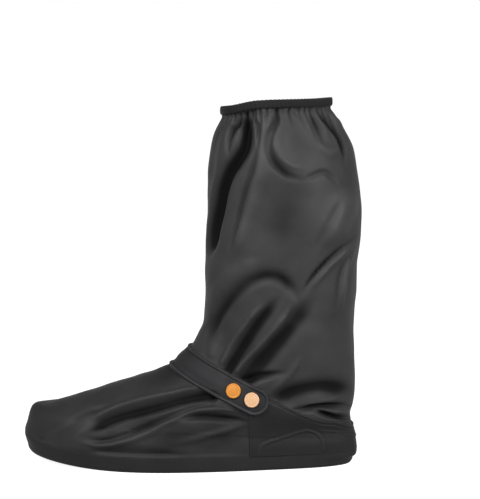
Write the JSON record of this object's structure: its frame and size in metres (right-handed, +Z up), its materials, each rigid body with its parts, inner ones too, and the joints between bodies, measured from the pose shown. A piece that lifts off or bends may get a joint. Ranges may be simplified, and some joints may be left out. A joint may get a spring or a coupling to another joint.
{
  "type": "boot cover",
  "caption": "Tall waterproof boot cover for the left foot: cup outsole, cloth foot, gathered shaft with elastic band, heel counter, snap-closed instep strap and covered side zip.",
  "frame": {"origin": "middle of the part's box, on the floor under the sole", "axes": "+X from the toe to the heel, +Y to the inner side with the zip, +Z up the shaft"},
  "size_m": [0.3272, 0.1182, 0.35],
  "materials": {
    "sole": "satin black moulded plastic",
    "coated_cloth": "satin black waterproof coated cloth",
    "band": "matt black elastic casing",
    "strap": "satin dark grey hemmed coated cloth",
    "zip": "black moulded teeth and tape",
    "gold_snap": "orange gold cap with a soft shine",
    "pale_snap": "pale gold cap with a soft shine",
    "dark_snap": "glossy black"
  },
  "bodies": {
    "root": {"outsole": "sole", "foot_upper": "coated_cloth", "shaft": "coated_cloth", "heel_counter": "coated_cloth", "instep_strap": "strap", "top_band": "band", "zip_placket": "coated_cloth", "zip": "zip", "band_tab": "band", "snap_front": "gold_snap", "snap_rear": "pale_snap", "band_snap": "dark_snap", "zip_slider": "dark_snap"}
  },
  "joints": []
}
